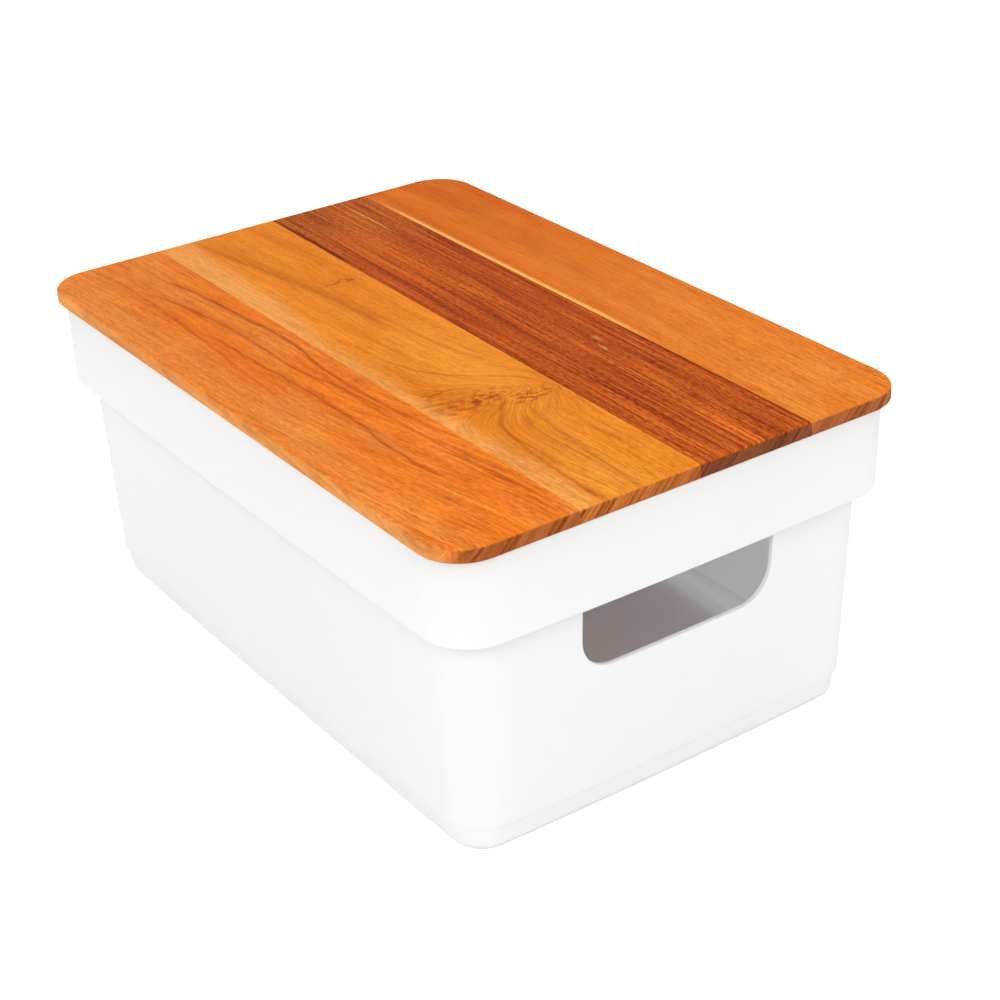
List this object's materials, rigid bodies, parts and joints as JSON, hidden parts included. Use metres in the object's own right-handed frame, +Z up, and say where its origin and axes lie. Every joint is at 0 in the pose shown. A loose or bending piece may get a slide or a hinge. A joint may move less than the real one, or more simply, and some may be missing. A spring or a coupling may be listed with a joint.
{
  "type": "lidded storage box",
  "caption": "Rectangular moulded box with a stepped collar, end hand holes and a stacking foot, closed by a loose wooden lid of glued staves on cross battens.",
  "frame": {"origin": "middle of the base, on the surface that the box stands on", "axes": "+X along the long side towards one hand hole, +Y across the box, +Z up through the lid"},
  "size_m": [0.265, 0.181, 0.117],
  "materials": {
    "tub_plastic": "opaque white polypropylene, satin",
    "stave_wood": "oiled teak, fine open grain",
    "batten_wood": "oiled teak, planed",
    "screw_steel": "zinc-plated steel"
  },
  "bodies": {
    "tub": {"tub": "tub_plastic"},
    "lid": {"lid_stave_1": "stave_wood", "lid_stave_2": "stave_wood", "lid_stave_3": "stave_wood", "lid_stave_4": "stave_wood", "batten_left": "batten_wood", "batten_right": "batten_wood", "batten_screws": "screw_steel"}
  },
  "joints": [
    {"name": "lid_lift", "type": "slide", "parent": "tub", "child": "lid", "axis": [0, 0, 1], "range_m": [0, 0.12]}
  ]
}
